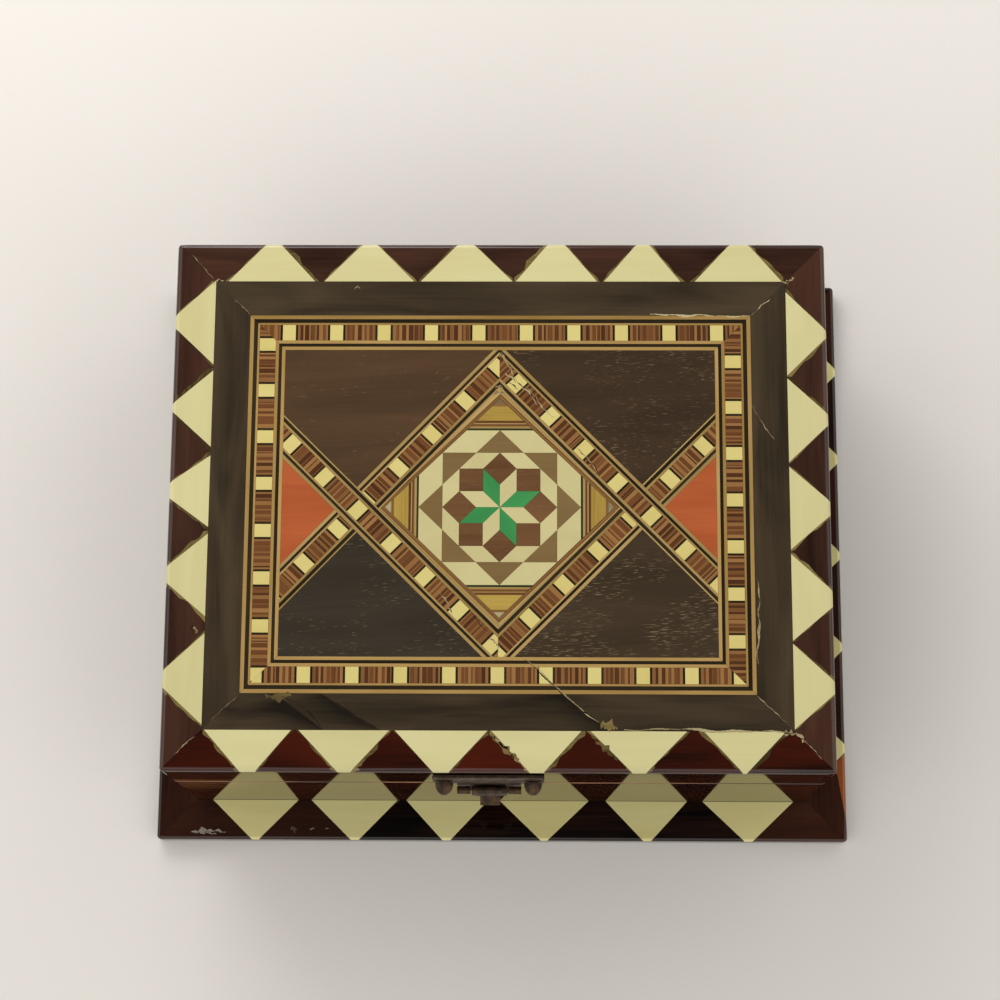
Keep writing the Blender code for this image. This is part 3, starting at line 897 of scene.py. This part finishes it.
wear = (
    # (wood, width, path): cracks, filler and scratches in the lid's lacquer
    ("putty", 0.22, ((5.5, -35.6), (8.5, -38.0), (12.5, -42.0), (17.5, -46.5), (24.0, -51.2))),
    ("crack", 0.16, ((5.7, -35.9), (8.7, -38.3), (12.7, -42.3), (17.7, -46.8), (24.2, -51.5))),
    ("crack", 0.16, ((58.0, 20.0), (61.0, 16.5), (63.5, 11.5), (65.6, 7.0))),
    ("putty", 0.16, ((57.6, 22.5), (59.5, 19.0), (62.5, 14.6))),
    ("putty", 0.16, ((57.9, 44.1), (60.0, 46.2), (62.2, 47.8))),
    ("putty", 0.12, ((-61.2, 47.6), (-59.3, 45.8), (-57.7, 44.2))),
    ("putty", 0.10, ((-71.5, 58.5), (-69.0, 55.6), (-66.2, 52.6))),
    ("putty", 0.12, ((57.7, -44.2), (60.5, -46.9), (64.2, -50.4))),
    ("putty", 0.12, ((67.2, -53.6), (69.0, -55.2), (71.6, -58.2))),
    ("putty", 0.12, ((-71.6, -57.6), (-69.0, -55.0), (-67.2, -53.7))),
    ("putty", 0.08, ((-64.4, -50.6), (-61.0, -47.4), (-57.6, -44.2))),
    ("putty", 0.35, ((28.0, -51.9), (38.0, -51.7), (48.0, -51.9), (57.0, -51.9), (65.4, -52.3))),
    ("putty", 0.90, ((63.4, -52.5), (66.2, -52.5))),
    ("putty", 0.50, ((66.0, -52.6), (67.8, -53.6), (67.4, -54.6))),
    ("putty", 0.45, ((65.0, 52.0), (66.6, 52.2), (68.0, 52.9))),
    ("putty", 0.35, ((66.2, 50.8), (66.6, 52.4))),
    ("putty", 0.30, ((-66.4, 51.4), (-65.6, 52.4), (-64.0, 52.4))),
    ("putty", 0.35, ((34.5, 43.9), (38.0, 44.0), (42.0, 44.0), (47.0, 44.0), (53.0, 44.0), (57.5, 43.7))),
    ("putty", 0.30, ((57.9, -17.5), (58.4, -23.0), (58.3, -30.0), (57.9, -37.0))),
    ("putty", 0.80, ((-68.1, -28.9), (-67.6, -29.8), (-67.7, -30.4))),
    ("crack", 0.25, ((-68.6, -28.2), (-68.6, -29.4), (-68.2, -30.8))),
    ("putty", 0.25, ((-33.6, 50.2), (-32.8, 50.9), (-32.2, 50.6))),
    ("putty", 0.20, ((0.4, 35.2), (1.6, 32.6), (3.2, 29.4), (3.6, 27.6))),
    ("putty", 0.28, ((1.4, 30.2), (2.6, 29.0), (4.6, 27.4), (6.8, 25.2), (8.8, 22.8))),
    ("crack", 0.14, ((2.2, 31.4), (3.4, 30.0), (3.8, 28.2), (5.8, 26.8))),
    ("crack", 0.14, ((1.4, 28.4), (3.4, 27.2), (5.0, 25.2))),
    ("putty", 0.22, ((6.4, 26.6), (8.6, 24.2), (10.2, 21.4), (12.4, 19.6))),
    ("putty", 0.18, ((17.0, 13.4), (19.4, 10.6), (21.6, 8.2), (22.6, 6.0))),
    ("crack", 0.12, ((19.8, 9.4), (21.4, 8.6), (22.4, 7.0), (21.6, 6.0))),
    ("putty", 0.35, ((-1.6, 24.9), (-0.4, 25.8), (0.6, 25.4), (1.8, 24.8))),
    ("putty", 0.30, ((-0.9, 26.4), (0.2, 27.3), (1.0, 26.2))),
    ("putty", 0.35, ((-1.8, -31.2), (-0.4, -32.6), (0.3, -34.4))),
    ("crack", 0.12, ((-6.0, -25.6), (-4.0, -28.2), (-1.6, -30.8))),
    ("putty", 0.25, ((-13.6, -20.6), (-11.4, -23.4), (-10.2, -26.0))),
    ("glueLine", 0.90, ((-1.4, -53.0), (1.6, -56.0), (4.6, -58.8))),
    ("putty", 0.35, ((-1.2, -53.2), (1.6, -56.0), (4.4, -58.6), (5.4, -59.6))),
    ("glueLine", 0.90, ((20.8, -53.0), (23.8, -56.0), (26.6, -58.6))),
    ("glueLine", 1.60, ((22.8, -50.6), (24.6, -51.0), (26.6, -51.4))),
    ("glueLine", 1.20, ((-51.8, -44.3), (-49.2, -44.8), (-46.0, -44.3))),
    ("crack", 0.16, ((-50.2, -44.2), (-45.0, -45.8), (-41.0, -48.8), (-38.8, -51.8))),
    ("crack", 0.16, ((-39.0, -44.2), (-34.4, -47.2), (-30.0, -50.0), (-26.4, -51.6))),
)


footWear = (
    ("scuff", 0.70, ((-76.2, -69.0), (-74.8, -69.2), (-73.2, -69.0), (-71.0, -69.1), (-67.8, -69.3))),
    ("scuff", 0.30, ((-74.0, -69.6), (-70.0, -69.7))),
    ("scuff", 0.80, ((-51.9, -68.3), (-51.0, -68.6), (-50.2, -68.4))),
    ("scuff", 0.45, ((-47.0, -68.6), (-45.9, -68.2))),
    ("scuff", 0.35, ((-43.2, -68.5), (-42.4, -68.3))),
    ("footGlue", 0.12, ((76.6, -63.4), (79.4, -65.8), (82.4, -69.0))),
)


def buildWear():
    places = (("lid_wear", wear, lidTop, "lid", "marquetry"),
              ("foot_wear", footWear, flangeTop, "case", "triangle_inlay"))
    for name, streaks, level, body, slot in places:
        inlay = Inlay(name)
        for wood, width, path in streaks:
            ribbonPiece(inlay, path, width, wood, level)
        inlay.build(body, slot)
    print("cracks, filler and scuffs laid")


# Wall and rim boards with eased edges at the opening

# Radii of the two rounds, their steps, and the row beside each that keeps the face flat
boards = {"edge": 0.45, "inner": 0.35, "steps": 4, "hold": 0.1}


def buildBoards():
    # Each board is its section carried along one side: a rectangle whose edges at the opening are
    # quarter rounds, to the outside and, smaller, to the inside.
    turn = np.linspace(0, math.pi / 2, boards["steps"] + 1)
    for body, part, sign in (("case", "body", 1), ("lid", "lid", -1)):
        for side in sides:
            node = f"{part}_{side}_board"
            foot, top = low(node)[2], high(node)[2]
            if sign < 0:
                foot, top = top, foot
            axis = turned(side, (1, 0))[0]
            thick = high(node)[axis] - low(node)[axis]
            outer, inner = boards["edge"], boards["inner"]
            section = [(thick, top - sign * (inner + boards["hold"])), (thick, foot), (0.0, foot)]
            section += [(0.0, top - sign * (outer + boards["hold"]))]
            section += [(outer * (1 - math.cos(a)), top - sign * outer * (1 - math.sin(a))) for a in turn]
            section += [(thick - inner * (1 - math.sin(a)), top - sign * inner * (1 - math.cos(a)))
                        for a in turn]
            inlay = Inlay(f"{part}_{side}_veneered")
            groundStrip(inlay, side, lidHalf, section, "caseWood")
            inlay.build(body, "polished_case", node)
    print("boards shaped")


# Screws of the hinge leaves

screws = {"radius": 1.7, "slot": 0.22, "rise": 0.45, "apart": 0.29, "inset": 3.4, "rows": 13, "columns": 7,
          "face": 1.2, "root": 0.1}  # thickness of the leaf, and how deep a head is set in it


def buildScrews():
    # Each head is two domed halves beside a slot. A half runs from the slot's edge to the rim, and
    # rises by 1 minus the square of the distance from its middle over the radius.
    radius, slot = screws["radius"], screws["slot"]
    up = np.linspace(-0.985, 0.985, screws["rows"])[:, None] * radius
    rim = np.sqrt(radius ** 2 - up ** 2)
    across = slot + (np.maximum(rim, slot + 0.02) - slot) * np.linspace(0, 1, screws["columns"])
    rise = screws["rise"] * np.clip(1.06 - (across ** 2 + up ** 2) / radius ** 2, 0, None)
    for body, part, sign in (("case", "body", -1), ("lid", "lid", 1)):
        inlay = Inlay(f"hinge_screws_{body}")
        for hinge in ("left", "right"):
            node = f"hinge_{hinge}_{part}_leaf"
            lower, upper = low(node), high(node)
            middle = (lower[0] + upper[0]) / 2
            height = lower[2] + screws["inset"] if sign < 0 else upper[2] - screws["inset"]
            face = lower[1] + screws["face"]
            for place in (-1, 1):
                turn = chance.uniform(0, math.pi)
                for half in (-1, 1):
                    east = half * (across * math.cos(turn)) - up * math.sin(turn)
                    north = half * across * math.sin(turn) + up * math.cos(turn)
                    x = middle + place * screws["apart"] * (upper[0] - lower[0]) + east
                    points = np.stack([np.stack([x, face + depth, height + north], -1)
                                       for depth in (rise, rise * 0 - screws["root"])])
                    index = np.arange(points[..., 0].size).reshape(2, *across.shape)
                    grain = points[..., ::2].reshape(-1, 2)
                    inlay.add(points.reshape(-1, 3), shellFaces(index), "brass", grain)
        inlay.build(body, "aged_brass")
    print("hinge screws set")


# Wood and metal of the carried-over nodes

def polishedCase(name):
    # Dark red-brown boards under gloss, grain running round the case, paler sapwood at one corner, and a
    # pale line along the lid's seam that is partly worn wood and partly a painted highlight.
    shop = Shop(name, Coat_Weight=1.0, Coat_Roughness=0.04, Coat_IOR=1.55, Specular_IOR_Level=0.0)
    place = shop.place()
    fibre = shop.noise(place, (45.0, 45.0, 1500.0), 5.0, 0.62)
    figure = shop.noise(place, (18.0, 18.0, 160.0), 3.0, 0.5, 1.2)
    level = (0.45 + (fibre - 0.5) * 1.1 + (figure - 0.5) * 1.6).bounded()
    colour = shop.mix(level, tint(26, 12, 7), tint(72, 32, 16))
    along, out, rise = shop.parts(place)
    streak = shop.noise(place, (22.0, 22.0, 520.0), 4.0, 0.6)
    patch = (1 - shop.step(along, -0.073, -0.052)) * (1 - shop.step(out, -0.0606, -0.0600))
    patch = patch * shop.step(rise, 0.024, 0.044) * (1 - shop.step(rise, 0.0472, 0.0525))
    patch = patch * shop.step(streak, 0.40, 0.68)
    sideways = along.maths("ABSOLUTE", along) - 0.075
    face = sideways.maths("MAXIMUM", sideways, out.maths("ABSOLUTE", out) - 0.06135)  # 0 at the outside
    # Pale broken line along the lid's seam on the outside faces: partly worn wood, partly a painted
    # highlight of the rounded edges there.
    wearAndSheen = 1 - shop.step(rise.maths("ABSOLUTE", rise - 0.046), 0.0009, 0.0020)  # by the lid's seam
    wearAndSheen = wearAndSheen * shop.step(face, -0.0005, -0.0002) * shop.step(figure, 0.44, 0.62)
    patch = patch.maths("MAXIMUM", patch * 0.75, wearAndSheen * 0.5)
    # Paler sapwood at the corner, and the seam line, which is worn wood with a painted highlight.
    colour = shop.mix(patch, colour, tint(186, 126, 70))
    rough = 0.40 + fibre * 0.2
    return shop.surface(fibre, 0.1, 0.00005, Base_Color=colour, Roughness=rough)


def plainWood():
    shop = Shop("plainWood", Coat_Weight=0.25, Coat_Roughness=0.3)
    place = shop.place()
    fibre = shop.noise(place, (30.0, 900.0, 900.0), 5.0, 0.65)
    figure = shop.noise(place, (9.0, 70.0, 70.0), 2.0, 0.5, 1.0)
    level = (0.5 + (fibre - 0.5) * 1.3 + (figure - 0.5) * 1.3).bounded()
    colour = shop.mix(level, tint(112, 74, 46), tint(158, 112, 72))
    return shop.surface(fibre, 0.25, 0.0001, Base_Color=colour, Roughness=0.5 + fibre * 0.2)


def agedBrass():
    # Brown, tarnished brass: smooth where it is touched, matt and dark in between.
    shop = Shop("agedBrass")
    place = shop.place()
    blotch = shop.noise(place, (420.0, 420.0, 420.0), 5.0, 0.62)
    speck = shop.noise(place, (2400.0, 2400.0, 2400.0), 3.0)
    wearAndSheen = shop.step(blotch + (speck - 0.5) * 0.25, 0.40, 0.66)
    colour = shop.mix(wearAndSheen, tint(42, 30, 20), tint(96, 72, 48))
    return shop.surface(speck, 0.3, 0.00006, Base_Color=colour, Metallic=0.4 + wearAndSheen * 0.4,
                        Roughness=0.58 - wearAndSheen * 0.15)


def dressNodes():
    finishes = {"case": woods["caseWood"], "plain": plainWood(), "brass": woods["brass"]}
    for name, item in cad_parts.items():
        kind = "case"
        if name in ("bottom_board", "lid_core_board"):
            kind = "plain"
        elif name.startswith(("hinge", "catch")):
            kind = "brass"
        item.data.materials.clear()
        item.data.materials.append(finishes[kind])
    print("carried-over pieces finished")


# Floor, light and camera

def floorPlane():
    shop = Shop("floor", Specular_IOR_Level=0.0)
    place = shop.place()
    cloud = shop.noise(place, (9.0, 9.0, 9.0), 4.0)
    colour = shop.mix(cloud, tint(241, 237, 232), tint(235, 230, 223))
    mesh = bpy.data.meshes.new("floor")
    corners = quad(-studio["floor"], studio["floor"], -studio["floor"], studio["floor"])
    mesh.from_pydata(np.c_[corners, np.zeros(4)].tolist(), [], [(0, 1, 2, 3)])
    mesh.materials.append(shop.surface(Base_Color=colour, Roughness=0.6 + cloud * 0.1))
    floor = bpy.data.objects.new("floor", mesh)
    bpy.context.scene.collection.objects.link(floor)


def areaLight(name, place, target, size, power, colour):
    light = bpy.data.lights.new(name, "AREA")
    light.shape = "RECTANGLE"
    light.size, light.size_y = size
    light.energy = power
    light.color = colour
    item = bpy.data.objects.new(name, light)
    item.location = place
    item.rotation_euler = (Vector(target) - Vector(place)).to_track_quat("-Z", "Y").to_euler()
    bpy.context.scene.collection.objects.link(item)


studio = {
    "focal": 86.36,
    "eye": (9.23, -120.14, 529.50),  # from the middle of the lid top, in millimetres
    "down": 77.15,
    "yaw": -4.26,
    "roll": -4.03,
    # Light of the dome: more towards a side, from all round, and straight above
    "dome": {"left": 0.84, "right": 0.84, "front": 0.95, "back": 0.3},
    "all": 0.265,
    "above": 0.045,
    # Each lamp: where it stands and looks, in metres, its size, power and colour
    "lamps": {
        "key": ((-0.85, 0.55, 0.85), (0, 0, 0.03), (1.0, 1.0), 0.85, (1.0, 0.985, 0.96)),
        "near": ((-0.2, 0.48, 0.4), (0, 0.03, 0.06), (0.45, 0.3), 1.5, (1.0, 0.99, 0.97)),
    },
    "floor": 15,  # metres from the middle to each side
}


def setCamera():
    down, yaw, roll = (math.radians(studio[key]) for key in ("down", "yaw", "roll"))
    ahead = Vector((math.sin(yaw) * math.cos(down), math.cos(yaw) * math.cos(down), -math.sin(down)))
    level = Vector((math.cos(yaw), -math.sin(yaw), 0.0))
    rise = level.cross(ahead)
    right = level * math.cos(roll) + rise * math.sin(roll)
    up = rise * math.cos(roll) - level * math.sin(roll)
    camera = bpy.data.cameras.new("camera")
    camera.lens = studio["focal"]
    camera.sensor_width = 36.0
    camera.sensor_fit = "HORIZONTAL"
    camera.clip_start = 0.01
    item = bpy.data.objects.new("camera", camera)
    turn = Matrix((right, up, -ahead)).transposed().to_4x4()
    eye = Vector(studio["eye"]) * mm + Vector((0, 0, lidTop * mm))
    item.matrix_world = Matrix.Translation(eye) @ turn
    bpy.context.scene.collection.objects.link(item)
    bpy.context.scene.camera = item


def setLights():
    # A dome that is dim overhead, where the polished top reflects it, and pale lower down, with its
    # own strength towards each side, and two soft lamps.
    sky = Sky("studio")
    ahead = sky.node("ShaderNodeTexCoord", {}, {}, "Generated")
    east, north, up = sky.parts(ahead)
    glow = studio["all"]
    for side, reach in (("left", 0.0 - east), ("right", east), ("front", 0.0 - north), ("back", north)):
        glow = reach.bounded() * studio["dome"][side] + glow
    low = sky.step(up, 0.0, 0.4) * (1 - sky.step(up, 0.86, 0.93))
    sky.feed(sky.inputs["Color"], (1.0, 0.985, 0.96, 1.0))
    sky.feed(sky.inputs["Strength"], glow * low + studio["above"])
    bpy.context.scene.world = sky.world
    for name, lamp in studio["lamps"].items():
        areaLight(name, *lamp)
    bpy.context.scene.view_settings.view_transform = "Standard"
    print("studio set")


woods["caseWood"] = polishedCase("caseWood")
woods["brass"] = agedBrass()
buildBoards()
buildFlange()
buildLidBands()
buildBorder()
buildStringing()
buildPanel()
buildWear()
buildScrews()
dressNodes()
floorPlane()
setCamera()
setLights()
